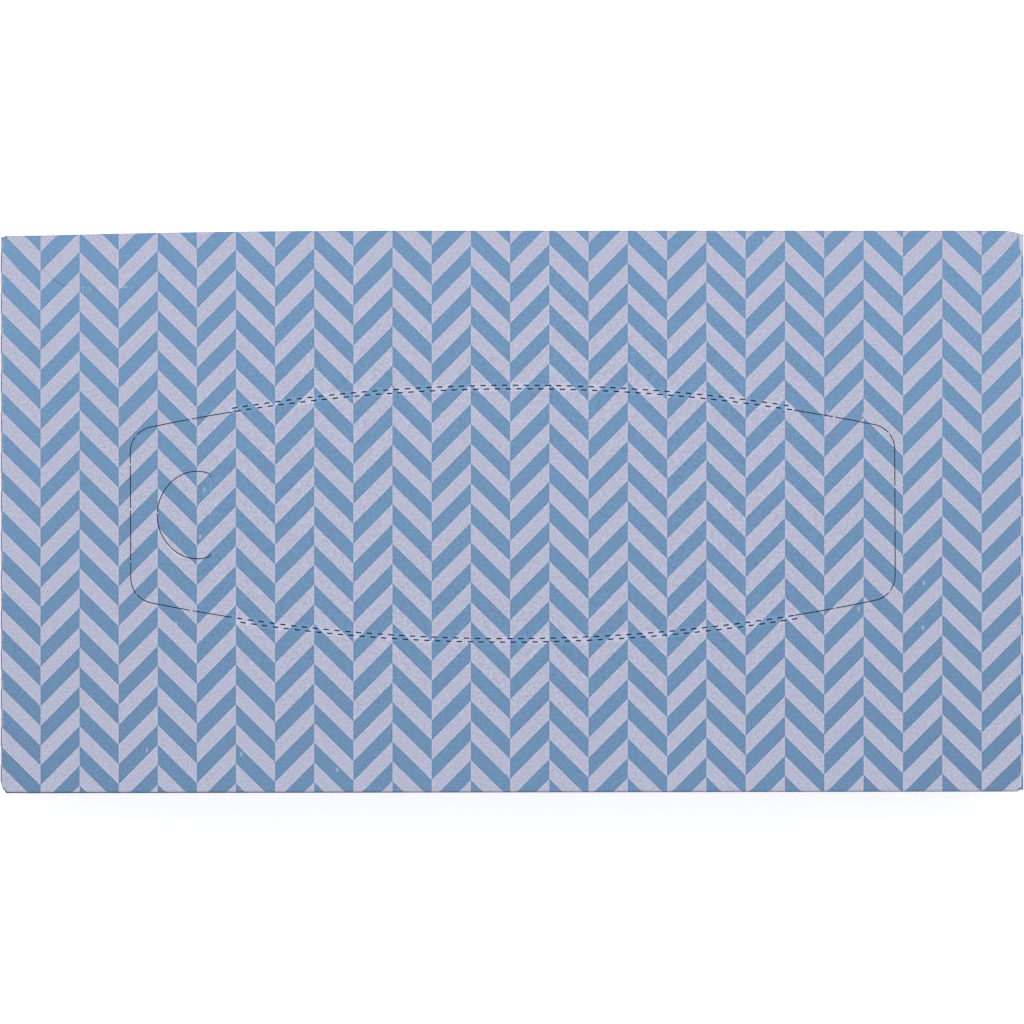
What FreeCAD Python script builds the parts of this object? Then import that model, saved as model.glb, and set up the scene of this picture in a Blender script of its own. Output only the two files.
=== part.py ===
import FreeCAD, Part
import math
import os

# A sealed box of facial tissues: one folded, glued carton, closed all round.
# Millimetres. X runs along the length, Y from the front to the back panel, Z up.
# The origin is the centre of the underside.

# Overall sizes
length = 229.0
width = 126.0
height = 60.0

# Folding board
card = 0.45
fold_radius = 0.7

# The wrap isn't quite square. The back panel is drawn in by a long bow towards
# the left end and a short turn at the right end, and the front panel runs in
# a little from left to right.
left_pinch = 1.3
left_bow_run = 88.0
right_pinch = 0.9
right_turn_run = 5.0
front_run_in = 0.4

# The underside laps over a glue flap and stops short of the back panel and of the corners
seam_setback = 1.1
bottom_end_inset = 1.0

# End closure: an outer flap hung from the top over an inner flap from below
outer_flap_drop = 40.0
outer_flap_inset = 0.8
outer_flap_taper = 2.2
outer_flap_corner = 4.0
inner_flap_rise = 38.0
inner_flap_inset = 1.4
inner_flap_taper = 2.0
inner_flap_corner = 3.0

# How far each flap runs back into its own panel, so that the two are one
flap_root = 1.5

# Tear-out panel in the top: two long arcs, two straight ends, round corners
opening_length = 171.1
opening_width = 55.9
opening_arc_radius = 400.0
opening_corner = 5.6
opening_shift_x = 0.17
opening_shift_y = -0.38
opening_turn = 0.2

# Perforation along each arc: two staggered rows of short cuts. The inner row is
# ahead of the outer one at the back and behind it at the front.
perforation_count = 52
perforation_pitch = 2.42
perforation_cut = 1.2
perforation_width = 0.3
row_gap = 0.8
row_stagger = 0.78
back_rows_shift = -0.09
front_rows_shift = 0.88

# Plain cut round the ends of the panel, held by small uncut nicks
cut_width = 0.22
nick = 0.55
arc_nick_from_middle = 72.0
left_end_nicks = (11.3, 1.3, -10.4)
right_end_nicks = (5.7, -4.0)

# Thumb tab: a C-shaped cut of three arcs, one nick, and a scored hinge
thumb_from_end = 14.5
thumb_half_width = 8.55
thumb_half_height = 9.8
thumb_side_radius = 10.2
thumb_end_radius = 8.0
thumb_past_middle = 3.3
thumb_drop = 0.05
thumb_nick_rise = 0.5
score_width = 0.5
score_depth = 0.12

# Clearance of each cutter above the top, and the tolerance for finding edges
above = 1.0
tiny = 1e-6

# The wrapped panels end two card thicknesses inside the outer flaps
half_length = length / 2
half_width = width / 2
half_wrap = half_length - 2 * card
half_opening = opening_length / 2
arc_centre_depth = opening_arc_radius - opening_width / 2


def vec(x, y, z=0.0):
    return FreeCAD.Vector(x, y, z)


def line(a, b):
    return Part.LineSegment(a, b).toShape()


def arc(a, middle, b):
    return Part.Arc(a, middle, b).toShape()


def bow(run, fall, share):
    """How far a bow that starts level and ends down by fall has dropped after a share of its run."""
    radius = (run**2 + fall**2) / (2 * fall)
    return radius - math.sqrt(radius**2 - (share * run) ** 2)


def wrap_outline(setback=0.0):
    """Plan of the four wrapped panels. setback moves the back edge forwards."""
    back = half_width - setback
    front_left = vec(-half_wrap, -half_width)
    front_right = vec(half_wrap, front_run_in - half_width)
    back_right = vec(half_wrap, back - right_pinch)
    right_half = vec(half_wrap - right_turn_run / 2, back - bow(right_turn_run, right_pinch, 0.5))
    right_turn = vec(half_wrap - right_turn_run, back)
    left_bow = vec(left_bow_run - half_wrap, back)
    left_half = vec(left_bow_run / 2 - half_wrap, back - bow(left_bow_run, left_pinch, 0.5))
    back_left = vec(-half_wrap, back - left_pinch)
    return Part.Wire(
        [
            line(front_left, front_right),
            line(front_right, back_right),
            arc(back_right, right_half, right_turn),
            line(right_turn, left_bow),
            arc(left_bow, left_half, back_left),
            line(back_left, front_left),
        ]
    )


def edges_at(shape, level):
    """Edges that lie wholly at one height."""
    return [e for e in shape.Edges if abs(e.BoundBox.ZMin - level) < tiny and e.BoundBox.ZLength < tiny]


def corner_edges(shape):
    """The upright edges at the four corners of the wrap."""
    upright = [e for e in shape.Edges if e.BoundBox.XLength < tiny and e.BoundBox.YLength < tiny]
    return [e for e in upright if abs(abs(e.BoundBox.XMin) - half_wrap) < tiny]


def wrapped_panels():
    """Front, top and back panels, the glue flap and the tucked dust flaps, full of tissues."""
    block = Part.Face(wrap_outline()).extrude(vec(0, 0, height - card))
    block.translate(vec(0, 0, card))
    folds = corner_edges(block) + edges_at(block, height) + edges_at(block, card)
    return block.makeFillet(fold_radius, folds)


def bottom_panel():
    """The underside, folded in from the front panel and lapped over the glue flap."""
    rise = card + 2 * fold_radius
    between_ends = Part.makeBox(2 * (half_wrap - bottom_end_inset), width, rise)
    between_ends.translate(vec(bottom_end_inset - half_wrap, -half_width, 0))
    panel = Part.Face(wrap_outline(seam_setback)).extrude(vec(0, 0, rise)).common(between_ends)
    front_fold = [e for e in edges_at(panel, 0) if e.BoundBox.YMax < front_run_in + tiny - half_width]
    return panel.makeFillet(fold_radius, front_fold)


def flap_outline(front, back, root, free, taper, corner):
    """A flap seen from its end of the box, as a prism: tapered sides, two round free corners."""
    past_root = root + math.copysign(flap_root, root - free)
    points = [
        vec(0, front, past_root),
        vec(0, front, root),
        vec(0, front + taper, free),
        vec(0, back - taper, free),
        vec(0, back, root),
        vec(0, back, past_root),
    ]
    prism = Part.Face(Part.makePolygon(points + points[:1])).extrude(vec(length, 0, 0))
    along = [e for e in prism.Edges if e.BoundBox.XLength > half_length]
    free_corners = [e for e in along if abs(e.BoundBox.ZMin - free) < tiny]
    prism = prism.makeFillet(corner, free_corners)
    prism.translate(vec(-half_length, 0, 0))
    return prism


def bent_strip(outer_x, fold_z, free_z):
    """A full-width strip of card bent down or up round the right-hand end of its panel."""
    up = math.copysign(1, free_z - fold_z)
    inner_x = outer_x - card
    inner_z = fold_z + up * card
    panel_x = half_wrap - flap_root
    inner_radius = fold_radius - card
    bend_z = fold_z + up * fold_radius
    bend_x = outer_x - fold_radius
    diagonal = math.sqrt(0.5)
    outer_middle = vec(bend_x + fold_radius * diagonal, 0, bend_z - up * fold_radius * diagonal)
    inner_middle = vec(bend_x + inner_radius * diagonal, 0, bend_z - up * inner_radius * diagonal)
    section = Part.Wire(
        [
            line(vec(panel_x, 0, fold_z), vec(bend_x, 0, fold_z)),
            arc(vec(bend_x, 0, fold_z), outer_middle, vec(outer_x, 0, bend_z)),
            line(vec(outer_x, 0, bend_z), vec(outer_x, 0, free_z)),
            line(vec(outer_x, 0, free_z), vec(inner_x, 0, free_z)),
            line(vec(inner_x, 0, free_z), vec(inner_x, 0, bend_z)),
            arc(vec(inner_x, 0, bend_z), inner_middle, vec(bend_x, 0, inner_z)),
            line(vec(bend_x, 0, inner_z), vec(panel_x, 0, inner_z)),
            line(vec(panel_x, 0, inner_z), vec(panel_x, 0, fold_z)),
        ]
    )
    strip = Part.Face(section).extrude(vec(0, width, 0))
    strip.translate(vec(0, -half_width, 0))
    return strip


def end_closure(front_inset, pinch):
    """The glued end at the right-hand side, with the room between its layers closed."""
    front = front_inset - half_width
    back = half_width - pinch
    outer_free = height - outer_flap_drop
    outer = bent_strip(half_length, height, outer_free).common(
        flap_outline(
            front + outer_flap_inset,
            back - outer_flap_inset,
            height,
            outer_free,
            outer_flap_taper,
            outer_flap_corner,
        )
    )
    inner = bent_strip(half_length - card, 0, inner_flap_rise).common(
        flap_outline(
            front + inner_flap_inset,
            back - inner_flap_inset,
            0,
            inner_flap_rise,
            inner_flap_taper,
            inner_flap_corner,
        )
    )
    side = outer_flap_inset + outer_flap_taper + card
    packing_width = back - front - 2 * side
    packing_base = outer_free + outer_flap_corner
    behind_outer = Part.makeBox(card + flap_root, packing_width, height - card - packing_base)
    behind_outer.translate(vec(half_wrap - flap_root, front + side, packing_base))
    above_inner = Part.makeBox(flap_root, packing_width, fold_radius + card / 2)
    above_inner.translate(vec(half_wrap - flap_root, front + side, card / 2))
    return [outer, inner, behind_outer, above_inner]


def mirrored(shapes):
    return [s.mirror(vec(0, 0, 0), vec(1, 0, 0)) for s in shapes]


def slot(edges, depth):
    """A cut into the top from a closed flat outline, drawn about the opening's own centre."""
    cutter = Part.Face(Part.Wire(edges)).extrude(vec(0, 0, depth + above))
    cutter.rotate(vec(0, 0, 0), vec(0, 0, 1), opening_turn)
    cutter.translate(vec(opening_shift_x, opening_shift_y, height - depth))
    return cutter


def curved_slot(centre, radius, start, stop):
    """A plain cut along part of a circle, from one angle to another."""
    inner, outer = radius - cut_width / 2, radius + cut_width / 2
    places = []
    for r in (inner, outer):
        for angle in (start, (start + stop) / 2, stop):
            places.append(centre + vec(math.cos(angle), math.sin(angle)) * r)
    edges = [
        arc(places[0], places[1], places[2]),
        line(places[2], places[5]),
        arc(places[5], places[4], places[3]),
        line(places[3], places[0]),
    ]
    return slot(edges, card)


def straight_slot(centre, angle, slot_length, slot_width, depth):
    """A straight cut about its own centre, turned to lie at an angle."""
    ahead = vec(math.cos(angle), math.sin(angle)) * (slot_length / 2)
    aside = vec(-math.sin(angle), math.cos(angle)) * (slot_width / 2)
    corners = [centre - ahead - aside, centre + ahead - aside, centre + ahead + aside, centre - ahead + aside]
    return slot([line(a, b) for a, b in zip(corners, corners[1:] + corners[:1])], depth)


def stretches(start, stop, places, gap):
    """The cut stretches of a run from start to stop, with a gap left uncut at each place."""
    ends = [start]
    for place in sorted(places):
        ends += [place - gap / 2, place + gap / 2]
    ends.append(stop)
    return list(zip(ends[::2], ends[1::2]))


def perforation(side):
    """Two rows of short cuts along one arc. side is 1 at the back, -1 at the front."""
    cuts = []
    rows_shift = back_rows_shift if side > 0 else front_rows_shift
    for row in (0, 1):
        radius = opening_arc_radius + row * row_gap
        shift = rows_shift + side * (0.5 - row) * row_stagger
        for i in range(perforation_count):
            x = (i - (perforation_count - 1) / 2) * perforation_pitch + shift
            y = side * (math.sqrt(radius**2 - x**2) - arc_centre_depth)
            along = -side * math.asin(x / radius)
            cuts.append(straight_slot(vec(x, y), along, perforation_cut, perforation_width, card))
    return cuts


def end_cuts(side, end_nicks):
    """The plain cut round one end of the tear-out panel. side is 1 at the right, -1 at the left."""
    corner_x = half_opening - opening_corner
    corner_y = math.sqrt((opening_arc_radius - opening_corner) ** 2 - corner_x**2) - arc_centre_depth
    arc_end = math.asin(corner_x / (opening_arc_radius - opening_corner))
    arc_start = math.asin((perforation_count / 2) * perforation_pitch / opening_arc_radius)
    arc_nick = math.asin(arc_nick_from_middle / opening_arc_radius)
    quarter = math.pi / 2
    outward = quarter * (1 - side)
    cuts = []
    for up in (1, -1):
        arc_centre = vec(0, -up * arc_centre_depth)
        for a, b in stretches(arc_start, arc_end, [arc_nick], nick / opening_arc_radius):
            from_angle, to_angle = up * (quarter - side * a), up * (quarter - side * b)
            cuts.append(curved_slot(arc_centre, opening_arc_radius, from_angle, to_angle))
        corner = vec(side * corner_x, up * corner_y)
        turn = quarter - arc_end
        for a, b in stretches(0.0, turn, [turn / 2], nick / opening_corner):
            cuts.append(curved_slot(corner, opening_corner, outward + up * side * a, outward + up * side * b))
    for a, b in stretches(-corner_y, corner_y, end_nicks, nick):
        cuts.append(straight_slot(vec(side * half_opening, (a + b) / 2), quarter, b - a, cut_width, card))
    return cuts


def thumb_tab():
    """The C-shaped cut, open to the right, and the scored hinge between its ends."""
    middle = vec(thumb_from_end - half_opening, -thumb_drop)
    side_centre = middle + vec(thumb_side_radius - thumb_half_width, 0)
    end_rise = thumb_half_height - thumb_end_radius
    end_back = math.sqrt((thumb_side_radius - thumb_end_radius) ** 2 - end_rise**2)
    join = math.atan2(end_rise, end_back)
    reach = thumb_past_middle - (side_centre.x - middle.x - end_back)
    reach_angle = math.asin(reach / thumb_end_radius)
    nick_angle = thumb_nick_rise / thumb_side_radius
    cuts = []
    for a, b in stretches(-join, join, [nick_angle], nick / thumb_side_radius):
        cuts.append(curved_slot(side_centre, thumb_side_radius, math.pi - a, math.pi - b))
    for up in (1, -1):
        end_centre = side_centre + vec(-end_back, up * end_rise)
        start = up * (math.pi - join)
        stop = up * (math.pi / 2 - reach_angle)
        cuts.append(curved_slot(end_centre, thumb_end_radius, start, stop))
    hinge_length = 2 * (end_rise + thumb_end_radius * math.cos(reach_angle))
    hinge = middle + vec(thumb_past_middle, 0)
    cuts.append(straight_slot(hinge, math.pi / 2, hinge_length - cut_width, score_width, score_depth))
    return cuts


def tissue_box():
    layers = [bottom_panel()]
    layers += end_closure(front_run_in, right_pinch)
    layers += mirrored(end_closure(0.0, left_pinch))
    sealed = wrapped_panels().fuse(layers).removeSplitter()
    cuts = perforation(1) + perforation(-1)
    cuts += end_cuts(1, right_end_nicks) + end_cuts(-1, left_end_nicks)
    cuts += thumb_tab()
    return sealed.cut(Part.makeCompound(cuts)).Solids[0]


os.makedirs("parts", exist_ok=True)
box = tissue_box()
print("valid", box.isValid(), "faces", len(box.Faces), "litres", round(box.Volume / 1e6, 3))
box.exportStep("parts/tissue_box.step")
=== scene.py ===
# %% [markdown]
# # A sealed tissue box
#
# This lesson dresses a folded carton. The solid from the CAD step already has
# the right size, folds, flaps and die cuts, so it is the start of the mesh:
# what is added here is what makes card look like card. The panels take a
# gentle bow, the cut edges show their raw core, and the print runs round the
# box as it ran over the flat sheet.

import math
from functools import partial

import bmesh
import bpy
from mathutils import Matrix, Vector, noise


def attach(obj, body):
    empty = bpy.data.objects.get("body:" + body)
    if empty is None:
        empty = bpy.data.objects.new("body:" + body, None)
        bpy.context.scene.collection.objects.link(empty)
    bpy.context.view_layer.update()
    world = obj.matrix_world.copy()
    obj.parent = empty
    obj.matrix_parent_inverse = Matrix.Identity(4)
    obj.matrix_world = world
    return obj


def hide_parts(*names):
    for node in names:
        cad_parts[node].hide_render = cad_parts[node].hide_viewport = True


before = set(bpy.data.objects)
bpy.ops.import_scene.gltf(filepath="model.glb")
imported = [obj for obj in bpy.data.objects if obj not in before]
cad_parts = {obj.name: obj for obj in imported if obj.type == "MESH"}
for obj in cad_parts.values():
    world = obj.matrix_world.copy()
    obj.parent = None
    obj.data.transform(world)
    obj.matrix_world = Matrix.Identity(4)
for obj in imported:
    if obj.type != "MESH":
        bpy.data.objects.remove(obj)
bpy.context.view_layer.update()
MM = 0.001
LENGTH, WIDTH, HEIGHT = 229.0, 126.0, 60.0

# %% [markdown]
# ## The camera
#
# The box is seen from straight above, with its long side across the picture.
# A long lens far away keeps the sides of the box out of sight behind the top,
# as in the photograph. The picture is square, so its width alone sets the
# distance: the lens is as many times its sensor as the distance is times the
# width that is seen.

# %% Colour and camera
bpy.context.scene.view_settings.view_transform = "Standard"
SEEN_WIDTH = 229.15
LENS, SENSOR = 400.0, 36.0
SEES_AS_FAR_AS = 10.0

camera_data = bpy.data.cameras.new("camera")
camera_data.lens = LENS
camera_data.sensor_width = SENSOR
camera_data.clip_end = SEES_AS_FAR_AS
camera = bpy.data.objects.new("camera", camera_data)
bpy.context.scene.collection.objects.link(camera)
camera_distance = SEEN_WIDTH * MM * LENS / SENSOR
camera.location = (0.0, 0.0, HEIGHT * MM + camera_distance)
bpy.context.scene.camera = camera
print("camera is", round(camera_distance, 3), "m above the top panel")

# %% [markdown]
# ## The carton's mesh
#
# The frame's mesh comes as loose triangles. A copy is welded into one skin and
# then sliced by planes into cells about nine millimetres wide, because a long
# thin triangle can't bend. Slicing with bisect_plane leaves every die cut
# where it is, which a remesh wouldn't.

# %% Weld and slice a copy of the CAD mesh
CELL = 9.0
SAME_POINT = 1e-7


def slice_mesh(mesh, axis, first, span):
    """Cuts the mesh by evenly spaced planes across one axis, from first over a span in mm."""
    normal = Vector((0, 0, 0))
    normal[axis] = 1.0
    steps = int(span / CELL)
    for i in range(1, steps):
        place = Vector((0, 0, 0))
        place[axis] = (first + i * span / steps) * MM
        geometry = mesh.verts[:] + mesh.edges[:] + mesh.faces[:]
        bmesh.ops.bisect_plane(
            mesh, geom=geometry, dist=SAME_POINT, plane_co=place, plane_no=normal)


carton_mesh = bmesh.new()
carton_mesh.from_mesh(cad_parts["tissue_box"].data)
bmesh.ops.remove_doubles(carton_mesh, verts=carton_mesh.verts[:], dist=SAME_POINT)
for axis, (first, span) in enumerate([(-LENGTH / 2, LENGTH), (-WIDTH / 2, WIDTH), (0.0, HEIGHT)]):
    slice_mesh(carton_mesh, axis, first, span)
print("carton mesh:", len(carton_mesh.verts), "vertices,", len(carton_mesh.faces), "faces")

# %% [markdown]
# ## Printed face, raw edge or cut
#
# Board shows two finishes: its printed face and the raw core where the die cut
# through it. The dark inside of a cut is painted shadow. These three could be
# painted by hand, but a face's direction and place already tell which one it
# has, so a function sorts them, and goes on sorting them if the solid changes.
# The perforation's cuts are so short that their walls get the same painted
# shadow as their bottoms.

# %% The finish of a face
PRINTED, RAW_EDGE, CUT_BOTTOM = 0, 1, 2
CARD = 0.45
FOLD_RADIUS = 0.7
WRAP_END = LENGTH / 2 - 2 * CARD
INNER_FLAP = LENGTH / 2 - CARD
NEAR_OPENING_X, NEAR_OPENING_Y = 95.0, 40.0
PERFORATED_REACH = 63.7
CUT_SLACK, FLAP_SLACK = 0.05, 0.02
DEEPER_THAN_SCORE = 0.15
FLAP_EDGE_FROM = 1.0
SQUARE_ON, MOSTLY, HALFWAY, HARDLY = 0.9, 0.7, 0.5, 0.1


def finish_of(normal, x, y, z):
    """The finish of a face from its direction and its middle, in millimetres."""
    near_opening = x < NEAR_OPENING_X and abs(y) < NEAR_OPENING_Y
    in_a_cut = near_opening and z > HEIGHT - CARD - CUT_SLACK
    if in_a_cut and z < HEIGHT - CARD + CUT_SLACK and normal.z > SQUARE_ON:
        return CUT_BOTTOM
    if in_a_cut and abs(normal.z) < HALFWAY and z < HEIGHT - DEEPER_THAN_SCORE:
        return CUT_BOTTOM if x < PERFORATED_REACH else RAW_EDGE
    on_flaps = x > WRAP_END + FLAP_SLACK
    between_folds = FLAP_EDGE_FROM < z < HEIGHT - FOLD_RADIUS
    if on_flaps and abs(normal.x) < HARDLY and between_folds:
        return RAW_EDGE
    if on_flaps and abs(normal.y) > SQUARE_ON:
        return RAW_EDGE
    if z < CARD and (normal.y > MOSTLY or abs(normal.x) > SQUARE_ON):
        return RAW_EDGE
    return PRINTED


# %% [markdown]
# ## Which face belongs to which panel
#
# A carton is printed flat. If every point of the folded box knows where it lay
# on the flat sheet, the print needs no care at the folds: it simply runs on.
# So each face is given a place on the flat sheet, as a UV map measured in
# metres from the middle of the top panel. An automatic unwrap would cut the
# box apart at its folds, and every stripe would break there. The outer end
# flaps hang from the top and the inner ones rise from the underside, so each
# flap is laid out from its own fold. The box is a little crooked, so each of
# its four corners says how far from the middle line its side is.

# %% Where a face lay on the flat sheet
CORNER_SIDE = {(-1, 1): 61.7, (1, 1): 62.1, (1, -1): 62.6, (-1, -1): 63.0}
END_FROM = WRAP_END - 0.8
INNER_FLAP_FROM, OUTER_FLAP_FROM = WRAP_END + 0.15, INNER_FLAP + 0.2
TOP_FOLD_FROM, LOWER_FOLD_TO = HEIGHT - 1.0, 0.8
UNDERSIDE_TO = 0.2


def place_on_sheet(normal, x, y, z, point):
    """Where a corner of a face lay on the flat sheet. x, y, z is the face's own middle."""
    px, py, pz = point / MM
    side, toward = math.copysign(1, px), math.copysign(1, y)
    down = HEIGHT - pz
    under = -(py + WIDTH + HEIGHT)
    corner = CORNER_SIDE[side, toward]
    on_end = abs(normal.x) > abs(normal.y) and x > END_FROM
    if on_end:
        if x > OUTER_FLAP_FROM or z > TOP_FOLD_FROM:
            return px + side * down, py
        if x > INNER_FLAP_FROM or z < LOWER_FOLD_TO:
            return px + side * pz, under
    round_corner = x > WRAP_END - FOLD_RADIUS and abs(y) > corner - FOLD_RADIUS
    if on_end or (round_corner and FOLD_RADIUS < z < HEIGHT - FOLD_RADIUS):
        return side * (abs(px) + corner - abs(py)), toward * (corner + down)
    if z < UNDERSIDE_TO and normal.z < -HALFWAY:
        return px, under
    return px, py + math.copysign(down, py)


# %% Sort the faces and lay them flat
sheet_map = carton_mesh.loops.layers.uv.new("flat_sheet")
counts = [0, 0, 0]
for face in carton_mesh.faces:
    middle = face.calc_center_median() / MM
    x, y, z = abs(middle.x), middle.y, middle.z
    face.material_index = finish_of(face.normal, x, y, z)
    face.smooth = True
    counts[face.material_index] += 1
    for loop in face.loops:
        along, across = place_on_sheet(face.normal, x, y, z, loop.vert.co)
        loop[sheet_map].uv = (along * MM, across * MM)
print("faces printed, raw and in the cuts:", counts)

# %% [markdown]
# ## Flap roots and a knocked corner
#
# An end flap turns out of the top at its root. On this box the roots have slid
# along the end fold until three of them almost reach the side, and the fourth,
# at the front left, took a knock that pushed it in. The corners could be
# sculpted by hand, but short ramps in code move the same points every time,
# and they fade out within about a centimetre of the corner.
#
# A row of the slides says how far the root of a flap slides, how far the end
# of the side's fold follows it, and from where to where along the box the root
# gets its slide. A row of the dents is a corner, a reach and an amount.

# %% Slide the flap roots and dent a corner
ROOT_TO_SIDE = 0.8
ROOT_SLIDES = {
    (-1, 1): (0.72, 0.15, 112.8, 113.3),
    (1, 1): (0.85, 0.25, 112.8, 113.3),
    (1, -1): (0.45, 0.0, 112.8, 113.3),
    (-1, -1): (-1.8, 0.0, 113.9, 114.5),
}
SIDE_SLIDES_OVER = (109.5, 113.0)
SLIDES_OVER_HEIGHT = (47.0, 57.0)
STILL_TO = 50.0
DENTS = [(-1, -1, 1.8, 0.2)]
DENT_ACROSS, DENT_DOWN = 0.8, 0.6


def hump(value, half_span):
    """1 in the middle of a span, 0 at its ends, round on top."""
    share = min(1.0, abs(value) / half_span)
    return math.cos(share * math.pi / 2) ** 2


def ramp(value, low, high):
    """0 at and below low, 1 at and above high."""
    return min(1.0, max(0.0, (value - low) / (high - low)))


def corner_slid(px, py, pz):
    """Slides a flap's root along the end fold, and the end of the side fold with it."""
    corner = (math.copysign(1, px), math.copysign(1, py))
    root = CORNER_SIDE[corner] - ROOT_TO_SIDE
    root_slide, side_slide, slide_from, slide_full = ROOT_SLIDES[corner]
    across = abs(py)
    at_side = side_slide * ramp(abs(px), *SIDE_SLIDES_OVER)
    at_root = at_side + (root_slide - at_side) * ramp(abs(px), slide_from, slide_full)
    if across > root:
        slide = at_root + (at_side - at_root) * ramp(across, root, root + ROOT_TO_SIDE)
    else:
        slide = at_root * ramp(across, STILL_TO, root)
    return math.copysign(across + slide * ramp(pz, *SLIDES_OVER_HEIGHT), py)


def dented(px, py, pz):
    """Pushes a point near a knocked upper corner towards the middle of the box."""
    for side, front, reach, amount in DENTS:
        away = math.dist((px, py, pz), (side * LENGTH / 2, front * WIDTH / 2, HEIGHT))
        push = amount * hump(away, reach)
        px -= side * push
        py -= front * push * DENT_ACROSS
        pz -= push * DENT_DOWN
    return px, py, pz


# %% [markdown]
# ## The bow of the panels
#
# The tissues press the top panel up, so it is highest in the middle, and the
# tall thin sides are drawn in a little between their folds. The amounts are
# tenths of a millimetre, and a slow noise keeps them from looking machined. A
# simulation would find such a shape slowly and blur the folds, while a formula
# keeps them sharp. The score between the ends of the thumb cut is almost
# closed, as it is on a box nobody has opened. All of it stays inside the box's
# own size.

# %% Bow the panels
TOP_DROP, SIDE_DISH, END_DISH = 0.5, 0.45, 0.3
SIDE_DISH_POWER, END_DISH_POWER = 4, 8
WAVE, WAVE_SCALE = 0.12, 18.0
SCORE_X, SCORE_Y = -67.58, -0.67
SCORE_HALF_WIDTH, SCORE_REACH, SCORE_DEPTH = 0.4, 10.0, 0.2
SCORE_LEFT_OPEN = 0.03


def bowed(point):
    """Moves one point of the carton in towards its bowed panel."""
    px, py, pz = point / MM
    in_score = abs(px - SCORE_X) < SCORE_HALF_WIDTH and abs(py - SCORE_Y) < SCORE_REACH
    if in_score and HEIGHT - SCORE_DEPTH < pz < HEIGHT - SCORE_LEFT_OPEN:
        pz = HEIGHT - SCORE_LEFT_OPEN
    py = corner_slid(px, py, pz)
    out_x, out_y = abs(px) / (LENGTH / 2), abs(py) / (WIDTH / 2)
    hump_x, hump_y = hump(px, LENGTH / 2), hump(py, WIDTH / 2)
    middle_height = hump(pz - HEIGHT / 2, HEIGHT / 2)
    wave = noise.noise(point * WAVE_SCALE) * WAVE
    down = TOP_DROP * (1.0 - hump_x * hump_y) * (pz / HEIGHT) ** 2
    dish_x = (END_DISH + wave) * middle_height * hump_y * out_x**END_DISH_POWER
    dish_y = (SIDE_DISH + wave) * middle_height * hump_x**0.5 * out_y**SIDE_DISH_POWER
    px -= math.copysign(dish_x, px)
    py -= math.copysign(dish_y, py)
    return Vector(dented(px, py, pz - down)) * MM


# %% [markdown]
# ## Normals that follow the bow
#
# The skin is curved by far less than its triangles are uneven, so normals
# averaged from the bowed triangles would show smudges round every cut. The
# normals are worked out instead: each corner takes the normal it had while the
# panels were flat, and that normal is turned the way the bow turns the skin.

# %% Turn the normals with the bow
SMOOTH_LIMIT = math.cos(math.radians(50))
NO_NORMAL = 0.5
PROBE = 0.2 * MM


def resting_normal(face, vertex):
    """The smooth normal of a face's corner before the bow, led by the largest faces."""
    total = Vector()
    for other in vertex.link_faces:
        if other.normal.dot(face.normal) > SMOOTH_LIMIT:
            total += other.normal * (other.calc_area() / MM**2) ** 2
    return total.normalized()


def bent_normal(point, normal):
    """Turns a normal the way the bow turns the skin under it. A sliver that has none stays so."""
    if normal.length < NO_NORMAL:
        return normal
    run = normal.orthogonal().normalized() * PROBE
    rise = normal.cross(run)
    run_bent = bowed(point + run) - bowed(point - run)
    rise_bent = bowed(point + rise) - bowed(point - rise)
    return run_bent.cross(rise_bent).normalized()


corner_normals = []
resting = [face.normal.copy() for face in carton_mesh.faces]
for face in carton_mesh.faces:
    for loop in face.loops:
        corner_normals.append(bent_normal(loop.vert.co, resting_normal(face, loop.vert)))
for vertex in carton_mesh.verts:
    vertex.co = bowed(vertex.co)
carton_mesh.normal_update()
turned = sum(face.normal.dot(normal) < 0 for face, normal in zip(carton_mesh.faces, resting))
print("normals for", len(corner_normals), "corners, faces turned over by the bow:", turned)

# %% [markdown]
# ## One piece for the whole carton
#
# The real box is one folded sheet that nothing has opened, so it is one
# object. It rides on the only body there is and stands for the CAD solid.
# Giving the worked out normals to the mesh comes last, because a change of the
# mesh would throw them away.

# %% Make the carton's object
carton_data = bpy.data.meshes.new("carton")
carton_mesh.to_mesh(carton_data)
carton_mesh.free()
carton_data.normals_split_custom_set(corner_normals)
carton = bpy.data.objects.new("carton", carton_data)
bpy.context.scene.collection.objects.link(carton)
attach(carton, "root")
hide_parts("tissue_box")
print("carton:", len(carton_data.polygons), "faces on the body root")

# %% [markdown]
# ## Short ways to write node trees
#
# The print is a calculation, and a calculation in nodes takes dozens of them.
# They could be placed by hand in the editor, but a few small functions let the
# script read like the formula that it stands for.


# %% Helpers for node trees
def feed(tree, socket, value):
    """Links a socket to another one, or gives it a plain value."""
    if isinstance(value, bpy.types.NodeSocket):
        tree.links.new(value, socket)
    else:
        socket.default_value = value


def number(tree, operation, *values, clamp=False):
    """A Math node fed by sockets or plain numbers. Gives its output."""
    node = tree.nodes.new("ShaderNodeMath")
    node.operation = operation
    node.use_clamp = clamp
    for socket, value in zip(node.inputs, values):
        feed(tree, socket, value)
    return node.outputs[0]


def vector_number(tree, operation, *values):
    """A Vector Math node fed by sockets or plain vectors. Gives the node."""
    node = tree.nodes.new("ShaderNodeVectorMath")
    node.operation = operation
    for socket, value in zip(node.inputs, values):
        feed(tree, socket, value)
    return node


def smooth_step(tree, value, full_at, gone_at):
    """Turns a value into a mask: 1 from one value outwards, 0 from another, smooth between."""
    node = tree.nodes.new("ShaderNodeMapRange")
    node.interpolation_type = "SMOOTHSTEP"
    labels = ("Value", "From Min", "From Max", "To Min", "To Max")
    for label, given in zip(labels, (value, full_at, gone_at, 1.0, 0.0)):
        feed(tree, node.inputs[label], given)
    return node.outputs["Result"]


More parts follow.
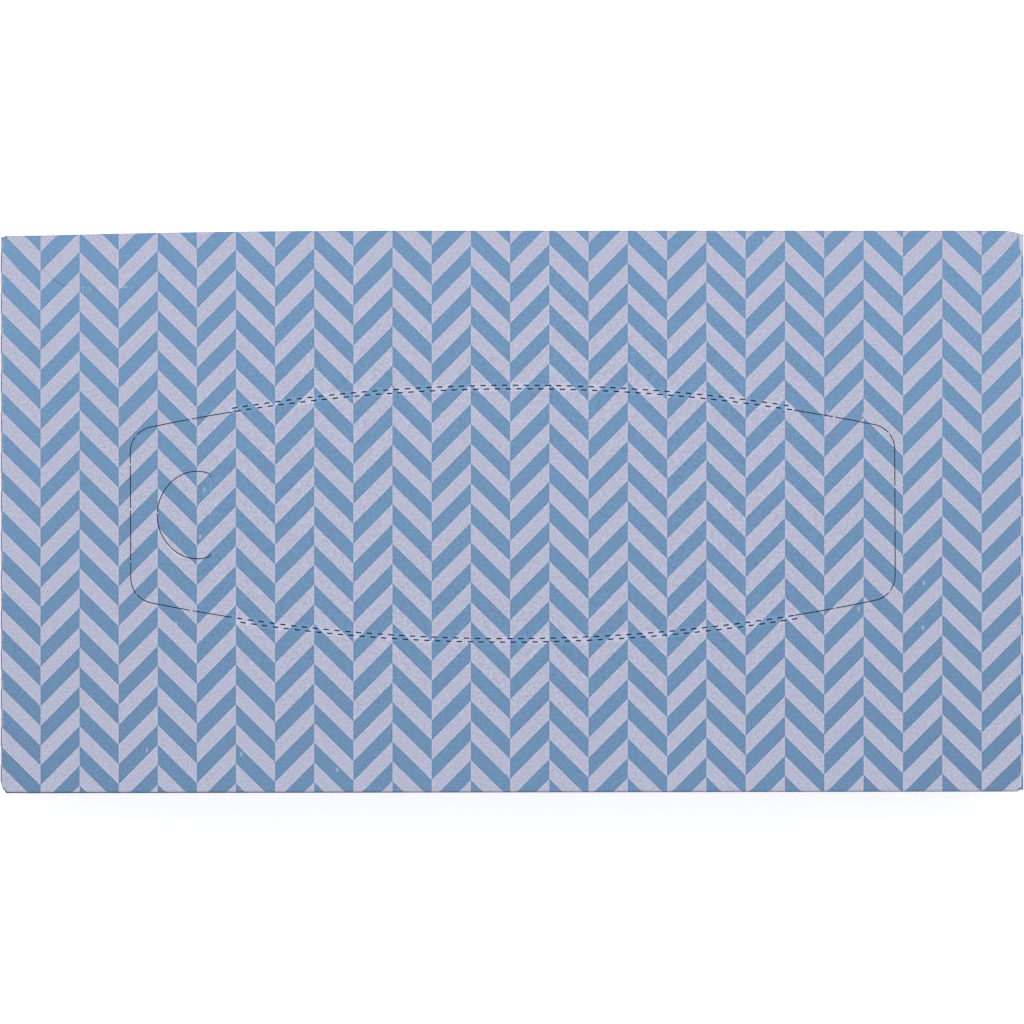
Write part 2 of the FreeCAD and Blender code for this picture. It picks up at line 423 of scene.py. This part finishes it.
def new_group(name, inputs, outputs):
    """An empty shader group with named sockets: numbers, or vectors where the default is one."""
    group = bpy.data.node_groups.new(name, "ShaderNodeTree")
    for label, default in inputs.items():
        kind = "NodeSocketFloat" if isinstance(default, float) else "NodeSocketVector"
        socket = group.interface.new_socket(name=label, in_out="INPUT", socket_type=kind)
        socket.default_value = default
    for label in outputs:
        group.interface.new_socket(name=label, in_out="OUTPUT", socket_type="NodeSocketFloat")
    source = group.nodes.new("NodeGroupInput")
    sink = group.nodes.new("NodeGroupOutput")
    return group, source, sink


def placed_group(tree, group, **inputs):
    """A group placed in a tree, its inputs fed by name. Gives the node."""
    node = tree.nodes.new("ShaderNodeGroup")
    node.node_tree = group
    for label, value in inputs.items():
        feed(tree, node.inputs[label], value)
    return node


# %% [markdown]
# ## The herringbone print
#
# The pattern is built from two numbers measured on the flat sheet, in
# millimetres. Columns of one width run across the box, and a saw tooth that
# leans one way in even columns and the other way in odd ones makes the
# stripes. They lean at about 45 degrees, so a stripe is narrower than it
# measures across the box, and they swap colour where two columns meet. A
# picture of the print would be simpler, but it would blur up close, and a
# formula doesn't. The group puts out a mask of the blue ink and a thin rim
# where ink squeezes out along the edge of each printed area.

# %% The herringbone group
COLUMN, FIRST_COLUMN = 8.7773, -114.53
PERIOD = 8.8632
PAPER_STRETCH = 2.08e-5
PRINT_DROP, PRINT_LEAN = 2.205, 0.01503
SLOPE = 0.9882
STRIPE_NARROWER = 0.707
INK_SOFT = 0.1

herringbone, source, sink = new_group("herringbone", {"Along": 0.0, "Across": 0.0}, ["Blue", "Rim"])
reckon = partial(number, herringbone)
shrink = reckon("SUBTRACT", 1.0, reckon("MULTIPLY", source.outputs["Along"], PAPER_STRETCH))
along = reckon("MULTIPLY", source.outputs["Along"], shrink)
across = reckon("MULTIPLY", source.outputs["Across"], shrink)

column = reckon("DIVIDE", reckon("SUBTRACT", along, FIRST_COLUMN), COLUMN)
in_column = reckon("FRACT", column)
half_columns = reckon("MULTIPLY", reckon("FLOOR", column), 0.5)
is_odd = reckon("MULTIPLY", reckon("FRACT", half_columns), 2.0)
drop = reckon("ADD", reckon("MULTIPLY", along, PRINT_LEAN), PRINT_DROP)
row = reckon("DIVIDE", reckon("SUBTRACT", drop, across), PERIOD)
lean = reckon("SUBTRACT", reckon("MULTIPLY", is_odd, 2.0), 1.0)
rise = reckon("MULTIPLY", reckon("MULTIPLY", in_column, SLOPE), lean)
swap = reckon("MULTIPLY", is_odd, 0.5 - SLOPE)
phase = reckon("ADD", reckon("ADD", row, rise), swap)

to_stripe = reckon("MULTIPLY", reckon("PINGPONG", phase, 0.25), PERIOD * STRIPE_NARROWER)
to_column = reckon("MULTIPLY", reckon("PINGPONG", column, 0.5), COLUMN)
to_edge = reckon("MINIMUM", to_stripe, to_column)
is_blue = reckon("LESS_THAN", reckon("FRACT", phase), 0.5)
side_of_edge = reckon("SUBTRACT", reckon("MULTIPLY", is_blue, 2.0), 1.0)
depth_in = reckon("MULTIPLY", to_edge, side_of_edge)
blue = reckon("ADD", reckon("DIVIDE", depth_in, INK_SOFT), 0.5, clamp=True)
rim = smooth_step(herringbone, to_edge, full_at=0.12, gone_at=0.42)
herringbone.links.new(blue, sink.inputs["Blue"])
herringbone.links.new(rim, sink.inputs["Rim"])
print("herringbone:", len(herringbone.nodes), "nodes")

# %% [markdown]
# ## Fibres
#
# Board is pressed from fibres, and its surface shows it: a fine grain, and a
# cloudiness a millimetre or so wide where the fibres lie thicker. The printed
# face, the raw edge and the bottom of a cut all share one group for it, each
# with a fineness of its own, so that the card looks like one stuff.

# %% The fibre group
ORIGIN = (0.0, 0.0, 0.0)
GRAIN_SCALE, GRAIN_ROUGHNESS = 2100.0, 0.75
CLOUD_SCALE, CLOUD_ROUGHNESS = 750.0, 0.6
NOISE_DETAIL = 3.0


def noise_value(tree, vector, scale, roughness):
    """Grey noise around 0.5 on a vector measured in metres."""
    node = tree.nodes.new("ShaderNodeTexNoise")
    labels = ("Vector", "Scale", "Detail", "Roughness")
    for label, given in zip(labels, (vector, scale, NOISE_DETAIL, roughness)):
        feed(tree, node.inputs[label], given)
    return node.outputs["Fac"]


fibres, source, sink = new_group(
    "board_fibres", {"Place": ORIGIN, "Fineness": 1.0}, ["Grain", "Cloud"])
place, fineness = source.outputs["Place"], source.outputs["Fineness"]
scaled = vector_number(fibres, "MULTIPLY", place, fineness).outputs[0]
grain = noise_value(fibres, scaled, GRAIN_SCALE, GRAIN_ROUGHNESS)
cloud = noise_value(fibres, scaled, CLOUD_SCALE, CLOUD_ROUGHNESS)
fibres.links.new(grain, sink.inputs["Grain"])
fibres.links.new(cloud, sink.inputs["Cloud"])
print("fibre group:", len(fibres.nodes), "nodes")

# %% [markdown]
# ## Strokes
#
# A scratch, a fleck or a worn spot is a short stroke on the sheet: everything
# within some distance of a line between two points. One group measures that
# distance, so a table of strokes is all that the marks of this one box need.

# %% The stroke group
stroke, source, sink = new_group(
    "stroke",
    {"Place": ORIGIN, "From": ORIGIN, "To": ORIGIN, "Reach": 0.3, "Soft": 0.2},
    ["Mask"],
)
start = source.outputs["From"]
offset = vector_number(stroke, "SUBTRACT", source.outputs["Place"], start).outputs[0]
span = vector_number(stroke, "SUBTRACT", source.outputs["To"], start).outputs[0]
offset_on_span = vector_number(stroke, "DOT_PRODUCT", offset, span).outputs["Value"]
span_squared = vector_number(stroke, "DOT_PRODUCT", span, span).outputs["Value"]
share = number(stroke, "DIVIDE", offset_on_span, span_squared, clamp=True)
nearest = vector_number(stroke, "MULTIPLY", span, share).outputs[0]
gap = vector_number(stroke, "DISTANCE", offset, nearest).outputs["Value"]
inside = number(stroke, "SUBTRACT", source.outputs["Reach"], gap)
softened = number(stroke, "DIVIDE", inside, source.outputs["Soft"])
mask = number(stroke, "ADD", softened, 0.5, clamp=True)
stroke.links.new(mask, sink.inputs["Mask"])
print("stroke group:", len(stroke.nodes), "nodes")

# %% [markdown]
# ## Printed board
#
# The outside of the carton is coated board with a matt print. The base colour
# is the two inks mixed by the herringbone mask. The print could be one flat
# colour for each ink, but fibres break up both inks, and the blue carries a
# painted sheen and shade: it is a little lighter towards the back of the sheet
# and darker towards the front, most towards the ends.

# %% Colours
BLUE_INK = (107, 144, 182)
PALE_INK = (183, 185, 209)
BARE_BOARD_AND_HIGHLIGHT = (216, 218, 230)
DIRT_AND_SHADE = (62, 74, 98)
RIM_ON_PALE, RIM_ON_BLUE = (1.06, 1.06, 1.07, 1.0), (0.93, 0.92, 0.91, 1.0)


def linear(colour):
    """A colour given in 0 to 255 on the sRGB curve, made linear for a shader."""
    made = []
    for value in colour:
        share = value / 255
        made.append(share / 12.92 if share <= 0.04045 else ((share + 0.055) / 1.055) ** 2.4)
    return (*made, 1.0)


# %% Helpers for materials
def new_material(name):
    """A material with a Principled shader. Gives the material, its tree and the shader."""
    material = bpy.data.materials.new(name)
    material.use_nodes = True
    tree = material.node_tree
    return material, tree, tree.nodes["Principled BSDF"]


MIX_FACTOR, MIX_A, MIX_B, MIX_RESULT = 0, 6, 7, 2


def mixed(tree, factor, a, b, blend="MIX"):
    """A colour mix of sockets or plain colours. Gives its output."""
    node = tree.nodes.new("ShaderNodeMix")
    node.data_type = "RGBA"
    node.blend_type = blend
    for index, value in ((MIX_FACTOR, factor), (MIX_A, a), (MIX_B, b)):
        feed(tree, node.inputs[index], value)
    return node.outputs[MIX_RESULT]


def shaded(tree, colour, shade):
    """A colour made lighter or darker by a grey value."""
    combine = tree.nodes.new("ShaderNodeCombineColor")
    for socket in combine.inputs[:3]:
        feed(tree, socket, shade)
    return mixed(tree, 1.0, colour, combine.outputs[0], "MULTIPLY")


def around_one(tree, value, depth):
    """Turns noise around 0.5 into a shade around 1. Depth is its range from dark to light."""
    return number(tree, "ADD", number(tree, "MULTIPLY", value, depth), 1.0 - depth / 2)


def fibre_nodes(tree, fineness):
    """The fibre group placed in a material. Gives its grain and cloud."""
    place = tree.nodes.new("ShaderNodeTexCoord").outputs["Object"]
    node = placed_group(tree, fibres, Place=place, Fineness=fineness)
    return node.outputs["Grain"], node.outputs["Cloud"]


def add_relief(tree, shader, height, strength, distance):
    """Bumps a material's surface by a height, over a distance in metres."""
    bump = tree.nodes.new("ShaderNodeBump")
    labels = ("Strength", "Distance", "Height")
    for label, given in zip(labels, (strength, distance, height)):
        feed(tree, bump.inputs[label], given)
    tree.links.new(bump.outputs["Normal"], shader.inputs["Normal"])


# %% The print
# How far the painted sheen and shade tilt the blue ink from back to front, and how much more at the
# ends.
SHEEN_TILT, SHEEN_AT_ENDS = 0.0005, 1.0e-7
GRAIN_DEPTH, CLOUD_DEPTH = 1.1, 0.16

printed_board, tree, shader = new_material("printed_board")
reckon = partial(number, tree)
sheet_node = tree.nodes.new("ShaderNodeUVMap")
sheet_node.uv_map = "flat_sheet"
in_mm = (1 / MM, 1 / MM, 0.0)
sheet = vector_number(tree, "MULTIPLY", sheet_node.outputs["UV"], in_mm).outputs[0]
axes = tree.nodes.new("ShaderNodeSeparateXYZ")
tree.links.new(sheet, axes.inputs[0])
sheet_x, sheet_y = axes.outputs["X"], axes.outputs["Y"]
pattern = placed_group(tree, herringbone, Along=sheet_x, Across=sheet_y)
is_blue_ink = pattern.outputs["Blue"]
grain, cloud = fibre_nodes(tree, fineness=1.0)

on_top_x = reckon("MINIMUM", reckon("ABSOLUTE", sheet_x), LENGTH / 2)
on_top_y = reckon("MAXIMUM", reckon("MINIMUM", sheet_y, WIDTH / 2), -WIDTH / 2)
# Painted sheen and shade: the blue is lighter towards the back and darker towards the front, most
# towards the ends.
painted_sheen = reckon("MULTIPLY", reckon("MULTIPLY", on_top_x, on_top_x), SHEEN_AT_ENDS)
painted_sheen = reckon("MULTIPLY", reckon("ADD", painted_sheen, SHEEN_TILT), on_top_y)
blue_ink = shaded(tree, linear(BLUE_INK), reckon("ADD", painted_sheen, 1.0))
ink = mixed(tree, is_blue_ink, linear(PALE_INK), blue_ink)
rim_shade = mixed(tree, is_blue_ink, RIM_ON_PALE, RIM_ON_BLUE)
ink = mixed(tree, pattern.outputs["Rim"], ink, mixed(tree, 1.0, ink, rim_shade, "MULTIPLY"))
grain_shade = around_one(tree, grain, GRAIN_DEPTH)
cloud_shade = around_one(tree, cloud, CLOUD_DEPTH)
ink = shaded(tree, ink, reckon("MULTIPLY", grain_shade, cloud_shade))
print("print:", len(tree.nodes), "nodes")

# %% [markdown]
# ## Wear, highlight and shade along the folds
#
# Where board is folded, its coating cracks and shows pale; at the end folds
# that pale line is also a painted highlight, where the bent coating catches the
# light. Along the front and back folds a dark line is painted shade, where the
# rounded fold turns away from the light. Both are narrow lines at a known place
# on the flat sheet, so their masks come from the distance to that place, broken
# up by the cloudiness of the board. Wear found from sharp edges would reach the
# die cuts too, which are fresh.

# %% Pale and dark lines at the folds
END_CREASE = INNER_FLAP
LOWER_FOLD = WIDTH / 2 + HEIGHT
# Painted shade lies along the front and back folds, patchy with the board's cloudiness.
FRONT_FOLD_SHADE, BACK_FOLD_SHADE = -WIDTH / 2 - 0.05, WIDTH / 2 + 0.1
SHADE_PATCH_DEPTH, SHADE_PATCH_LEAST = 1.2, 0.4


def near(tree, value, place, full_to, gone_at, strength):
    """A line where a value is close to a place, full to one distance and gone at another."""
    away = number(tree, "ABSOLUTE", number(tree, "SUBTRACT", value, place))
    return number(tree, "MULTIPLY", smooth_step(tree, away, full_to, gone_at), strength)


patchy = smooth_step(tree, cloud, full_at=0.60, gone_at=0.42)
size_x, size_y = reckon("ABSOLUTE", sheet_x), reckon("ABSOLUTE", sheet_y)
# At the end folds the pale line is worn coating and partly a painted highlight where the bent
# coating catches the light.
end_wear_and_highlight = near(tree, size_x, END_CREASE, full_to=0.05, gone_at=0.35, strength=0.3)
long_wear = near(tree, size_y, LOWER_FOLD, full_to=0.1, gone_at=0.7, strength=0.3)
wear_and_highlight = reckon("MULTIPLY", reckon("MAXIMUM", end_wear_and_highlight, long_wear), patchy)
ink = mixed(tree, wear_and_highlight, ink, linear(BARE_BOARD_AND_HIGHLIGHT))

# Painted shade: a dark line along the rounded front and back folds, where they turn away from the
# light.
front_fold_shade = near(tree, sheet_y, FRONT_FOLD_SHADE, full_to=0.18, gone_at=0.36, strength=0.9)
back_fold_shade = near(tree, sheet_y, BACK_FOLD_SHADE, full_to=0.1, gone_at=0.4, strength=0.2)
shade_patches = reckon("ADD", reckon("MULTIPLY", cloud, SHADE_PATCH_DEPTH), SHADE_PATCH_LEAST, clamp=True)
painted_fold_shade = reckon("MULTIPLY", reckon("MAXIMUM", front_fold_shade, back_fold_shade), shade_patches)
ink = mixed(tree, painted_fold_shade, ink, linear(DIRT_AND_SHADE))
print("with wear along the folds:", len(tree.nodes), "nodes")

# %% [markdown]
# ## Painted highlight on card pressed up beside the perforation
#
# A perforating rule goes through the sheet like a row of chisels, and the card
# beside and between its two rows is pressed up a little and catches the light.
# It is far too slight to model, so that light is a painted highlight: the ink
# is made a little lighter there. The two rows of each arc are circles about one
# centre, so the distance to that centre is all that the mask needs.

# %% Painted highlight beside the perforation
OPENING_X, OPENING_Y, OPENING_WIDTH = 0.17, -0.38, 55.9
OPENING_TURN = math.radians(0.2)
ARC_RADIUS, ROW_GAP = 400.0, 0.8
PERFORATED_TO, PERFORATED_FADE = 63.3, 0.3
HIGHLIGHT_LIFT = 0.12

to_centre = ARC_RADIUS - OPENING_WIDTH / 2
pressed = None
for side in (-1, 1):
    centre_x = OPENING_X - side * to_centre * math.sin(OPENING_TURN)
    centre_y = OPENING_Y + side * to_centre * math.cos(OPENING_TURN)
    radius = vector_number(tree, "DISTANCE", sheet, (centre_x, centre_y, 0.0)).outputs["Value"]
    to_middle = reckon("ABSOLUTE", reckon("SUBTRACT", radius, ARC_RADIUS + ROW_GAP / 2))
    beside = near(tree, to_middle, ROW_GAP / 2, full_to=0.4, gone_at=0.65, strength=HIGHLIGHT_LIFT)
    pressed = beside if pressed is None else reckon("MAXIMUM", pressed, beside)
in_reach = smooth_step(
    tree, size_x, PERFORATED_TO - PERFORATED_FADE, PERFORATED_TO + PERFORATED_FADE)
ink = shaded(tree, ink, reckon("ADD", reckon("MULTIPLY", pressed, in_reach), 1.0))
print("with pressed card:", len(tree.nodes), "nodes")

# %% [markdown]
# ## The marks of this one box
#
# This box has white flecks where dust kept the ink off the board, a scratch
# with a scrape beside it, pale fringes beside the thumb cut, and corners rubbed
# pale or dirty. At the right end's corners the pale marks are partly a painted
# highlight on the end crease, and at the front right corner a dark mark is a
# painted shadow in the gap at a flap's root. Noise would give any number of such
# marks in places of its own, but these belong where they are, so each is a
# stroke in a table: its two ends on the sheet, how far it reaches from its line,
# how soft its edge is, and how strong it is, from 0 to 1.


# %% Lay strokes into a mask
def strokes(tree, place, table):
    """All strokes of a table as one mask. A row is two ends, reach, softness and strength."""
    total = None
    for start, end, reach, soft, strength in table:
        line = {"From": (*start, 0.0), "To": (*end, 0.0)}
        node = placed_group(tree, stroke, Place=place, Reach=reach, Soft=soft, **line)
        mask = number(tree, "MULTIPLY", node.outputs["Mask"], strength)
        total = mask if total is None else number(tree, "MAXIMUM", total, mask)
    return total


# %% Pale marks: flecks, the score, the scratch's pale end, scrapes, fringes and corners
FLECKS = [
    (-68.9, 5.0), (-69.8, -5.5), (-75.2, -25.0), (-81.7, -53.3), (-60.6, -54.2), (-39.1, -57.7),
    (56.4, 61.2), (70.5, 22.5), (78.5, 21.8), (77.6, -21.7), (92.2, -15.9), (92.0, -25.9),
]
FLECK_HALF = 0.25
SCORE_MARK_BACK, SCORE_MARK_FRONT = 8.0, 8.6
PALE_MARKS = [((x, y - FLECK_HALF), (x, y + FLECK_HALF), 0.2, 0.35, 0.45) for x, y in FLECKS]
PALE_MARKS += [
    ((SCORE_X, SCORE_Y - SCORE_MARK_FRONT), (SCORE_X, SCORE_Y + SCORE_MARK_BACK), 0.12, 0.35, 0.16),
    ((-107.9, 56.7), (-105.2, 54.5), 0.05, 0.25, 0.25),
    ((-96.0, 49.3), (-95.9, 49.8), 0.08, 0.2, 0.4),
    ((-95.3, 49.0), (-95.2, 49.5), 0.08, 0.2, 0.45),
    ((-94.4, 49.4), (-94.3, 49.9), 0.08, 0.2, 0.45),
    ((-92.3, 49.4), (-91.5, 49.5), 0.08, 0.2, 0.35),
    ((-79.1, 2.7), (-78.5, 4.3), 0.08, 0.2, 0.7),
    ((-78.5, -5.2), (-76.95, -7.7), 0.1, 0.2, 0.9),
    ((-76.95, -7.7), (-75.1, -9.5), 0.13, 0.2, 1.0),
    ((-75.1, -9.5), (-73.4, -10.4), 0.1, 0.2, 0.9),
    # The right end's corners, rubbed pale along the end crease and partly a painted highlight where
    # the bent coating catches the light.
    ((113.9, 61.2), (114.1, 58.5), 0.4, 0.7, 0.75),
    ((113.8, -62.0), (114.1, -58.0), 0.2, 0.5, 0.5),
]
SCRAPE = [((-101.2, 50.0), (-81.0, 50.5), 0.08, 0.3, 0.7)]
broken = smooth_step(tree, cloud, full_at=0.62, gone_at=0.48)
scrape = reckon("MULTIPLY", strokes(tree, sheet, SCRAPE), broken)
pale_mask = reckon("MAXIMUM", strokes(tree, sheet, PALE_MARKS), scrape)
ink = mixed(tree, pale_mask, ink, linear(BARE_BOARD_AND_HIGHLIGHT))
print("pale marks:", len(PALE_MARKS) + len(SCRAPE))

# %% Dark marks: the scratch, the corners with a painted shadow at one, and the ends of the thumb cut
DARK_MARKS = [
    ((-105.2, 54.5), (-102.6, 52.05), 0.04, 0.2, 0.4),
    ((-102.6, 52.05), (-100.1, 50.5), 0.09, 0.2, 0.75),
    ((113.3, 61.9), (114.2, 61.0), 0.05, 0.25, 0.55),
    # A painted shadow in the gap between the front right flap's root and the corner of the box.
    ((113.55, -61.6), (113.8, -61.4), 0.2, 0.3, 0.85),
    ((-113.7, -61.9), (-113.2, -62.7), 0.1, 0.3, 0.8),
    ((-114.1, 61.6), (-113.4, 62.3), 0.15, 0.3, 0.35),
    ((-67.65, 8.4), (-67.4, 8.0), 0.12, 0.2, 0.9),
    ((-67.75, -9.8), (-67.4, -9.55), 0.14, 0.25, 0.85),
]
ink = mixed(tree, strokes(tree, sheet, DARK_MARKS), ink, linear(DIRT_AND_SHADE))
tree.links.new(ink, shader.inputs["Base Color"])
print("dark marks:", len(DARK_MARKS))

# %% [markdown]
# ## The feel of the printed face
#
# A matt varnish over coated board is smooth to the finger but not to the
# light: the fibres under it still show as a faint relief and an uneven sheen.
# Both come from the fibre group, so that they lie where the colour has them.

# %% Roughness and relief of the printed face
SHEEN_DEPTH, SMOOTHEST = 0.2, 0.5
GRAIN_IN_RELIEF = 0.5
roughness = reckon("ADD", reckon("MULTIPLY", grain, SHEEN_DEPTH), SMOOTHEST)
tree.links.new(roughness, shader.inputs["Roughness"])
shader.inputs["Specular IOR Level"].default_value = 0.3
height = reckon("ADD", reckon("MULTIPLY", grain, GRAIN_IN_RELIEF), cloud)
add_relief(tree, shader, height, strength=0.3, distance=0.06 * MM)
print("printed board:", len(tree.nodes), "nodes")

# %% [markdown]
# ## Raw cut board and the bottom of a cut
#
# Where the die has cut the sheet, its edge shows the core: greyish white
# fibres, coarser than the printed face and without its sheen. Inside a cut
# there is only shadow. A real cut would go through to the dark inside of the
# box, but the solid is closed there, so the bottom of a cut is a dark film of
# painted shadow.

# %% Raw edge
CORE_DARK, CORE_PALE = (184, 182, 177), (226, 224, 220)
raw_board, tree, shader = new_material("raw_board")
grain, _ = fibre_nodes(tree, fineness=0.8)
core = mixed(tree, grain, linear(CORE_DARK), linear(CORE_PALE))
tree.links.new(core, shader.inputs["Base Color"])
shader.inputs["Roughness"].default_value = 0.9
add_relief(tree, shader, grain, strength=0.5, distance=0.1 * MM)
print("raw board:", len(tree.nodes), "nodes")

# %% Painted shadow at the bottom of a cut
SHADOW_DARK, SHADOW_PALE = (6, 7, 9), (34, 36, 42)
cut_shadow, tree, shader = new_material("cut_shadow")
_, cloud = fibre_nodes(tree, fineness=0.7)
shadow = mixed(tree, cloud, linear(SHADOW_DARK), linear(SHADOW_PALE))
tree.links.new(shadow, shader.inputs["Base Color"])
shader.inputs["Roughness"].default_value = 0.8
for material in (printed_board, raw_board, cut_shadow):
    carton.data.materials.append(material)
print("finishes of the carton:", [material.name for material in carton.data.materials])

# %% [markdown]
# ## Floor
#
# The box lies on a white sweep. For the camera the floor adds a little of its
# own white, so it comes out as clean as the photograph's background while the
# soft shadow under the box stays. More light would do the same to the floor,
# but it would wash out the print.

# %% Make the floor
FLOOR_HALF_SPAN = 3.0
FLOOR_DROP = 0.1 * MM
FLOOR_WHITE, FLOOR_GLOW = 0.8, 0.6

floor_mesh = bmesh.new()
bmesh.ops.create_grid(floor_mesh, x_segments=2, y_segments=2, size=FLOOR_HALF_SPAN)
floor_data = bpy.data.meshes.new("floor")
floor_mesh.to_mesh(floor_data)
floor_mesh.free()
floor = bpy.data.objects.new("floor", floor_data)
floor.location.z = -FLOOR_DROP
bpy.context.scene.collection.objects.link(floor)

white_floor, tree, shader = new_material("white_floor")
shader.inputs["Base Color"].default_value = (FLOOR_WHITE, FLOOR_WHITE, FLOOR_WHITE, 1.0)
shader.inputs["Roughness"].default_value = 0.9
rays = tree.nodes.new("ShaderNodeLightPath")
seen = number(tree, "MAXIMUM", rays.outputs["Is Camera Ray"], rays.outputs["Is Glossy Ray"])
seen = number(tree, "MAXIMUM", seen, rays.outputs["Is Transmission Ray"])
glow = tree.nodes.new("ShaderNodeEmission")
feed(tree, glow.inputs["Strength"], number(tree, "MULTIPLY", seen, FLOOR_GLOW))
both = tree.nodes.new("ShaderNodeAddShader")
tree.links.new(shader.outputs[0], both.inputs[0])
tree.links.new(glow.outputs[0], both.inputs[1])
tree.links.new(both.outputs[0], tree.nodes["Material Output"].inputs["Surface"])
floor.data.materials.append(white_floor)
print("floor:", 2 * FLOOR_HALF_SPAN, "m wide,", round(FLOOR_DROP / MM, 2), "mm under the box")

# %% [markdown]
# ## Light
#
# The light is a wide panel overhead, a little towards the back, and an even
# grey-white sky. A small lamp would draw hard shadows, and the photograph has
# only a soft one. The sky is pure white where the camera sees it, and weaker
# where it lights the box.

# %% Sky
SKY_STRENGTH = 0.63
world = bpy.data.worlds.new("studio")
bpy.context.scene.world = world
world.use_nodes = True
tree = world.node_tree
background = tree.nodes["Background"]
rays = tree.nodes.new("ShaderNodeLightPath")
seen = number(tree, "MAXIMUM", rays.outputs["Is Camera Ray"], rays.outputs["Is Transmission Ray"])
added = number(tree, "MULTIPLY", seen, 1.0 - SKY_STRENGTH)
feed(tree, background.inputs["Strength"], number(tree, "ADD", added, SKY_STRENGTH))
background.inputs["Color"].default_value = (1.0, 1.0, 1.0, 1.0)
print("sky lights the box at", SKY_STRENGTH)

# %% Panel
PANEL_LENGTH, PANEL_WIDTH, PANEL_WATTS = 0.9, 0.6, 3.2
PANEL_PLACE = (0.0, 0.28, 0.8)
panel_data = bpy.data.lights.new("panel", "AREA")
panel_data.shape = "RECTANGLE"
panel_data.size = PANEL_LENGTH
panel_data.size_y = PANEL_WIDTH
panel_data.energy = PANEL_WATTS
panel = bpy.data.objects.new("panel", panel_data)
bpy.context.scene.collection.objects.link(panel)
panel.location = PANEL_PLACE
aim = Vector((0.0, 0.0, HEIGHT * MM)) - panel.location
panel.rotation_euler = aim.to_track_quat("-Z", "Y").to_euler()
print("panel is", round(aim.length, 2), "m from the top panel")
